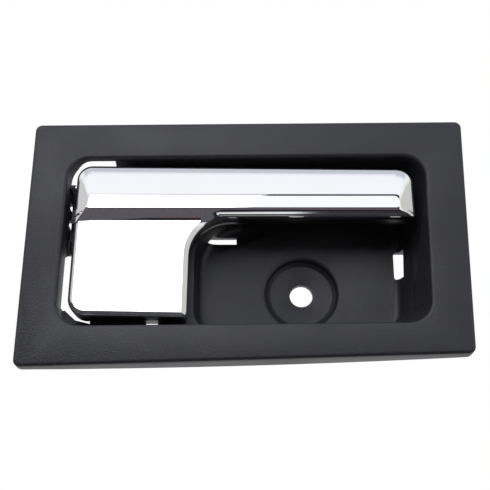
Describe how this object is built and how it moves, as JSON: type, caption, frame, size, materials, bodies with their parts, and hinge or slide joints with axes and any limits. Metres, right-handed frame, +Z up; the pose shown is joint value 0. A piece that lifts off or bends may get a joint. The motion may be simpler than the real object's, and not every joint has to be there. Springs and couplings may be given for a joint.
{
  "type": "inside door release handle",
  "caption": "Inside door release: a plated L-shaped pull lever pivoted in a black moulded cup with a flat rectangular face plate and a recessed screw seat.",
  "frame": {"origin": "middle of the screw hole, at the back face of its seat that meets the door", "axes": "+X to the right along the face plate, away from the pivot; +Y into the door; +Z up the door"},
  "size_m": [0.1694, 0.0382, 0.0989],
  "materials": {
    "black_grained_plastic": "fine grain, satin black",
    "bright_plating": "mirror bright plating on plastic",
    "black_inner_plastic": "plain moulded black",
    "pin_steel": "drawn bright",
    "spring_steel": "drawn wire",
    "buffer_rubber": "dull",
    "natural_plastic": "natural, slightly waxy",
    "clip_steel": "zinc plated strip",
    "grey_foam": "soft closed-cell foam"
  },
  "bodies": {
    "housing": {"bezel_housing": "black_grained_plastic", "pivot_pin": "pin_steel", "pin_retainer": "spring_steel", "return_spring": "spring_steel", "lever_bumpers": "buffer_rubber", "cable_holder": "natural_plastic", "panel_clips": "clip_steel", "anti_rattle_foam": "grey_foam"},
    "lever": {"lever_cover": "bright_plating", "lever_carrier": "black_inner_plastic", "cable_eye_bush": "natural_plastic"}
  },
  "joints": [
    {"name": "lever_pivot", "type": "hinge", "parent": "housing", "child": "lever", "pos_m": [-0.0797, -0.0201, 0.0289], "axis": [0, 0, -1], "range_deg": [0, 40], "stiffness_Nm_per_rad": 0.15, "springref_deg": -28.65, "deforming": ["return_spring"]}
  ]
}
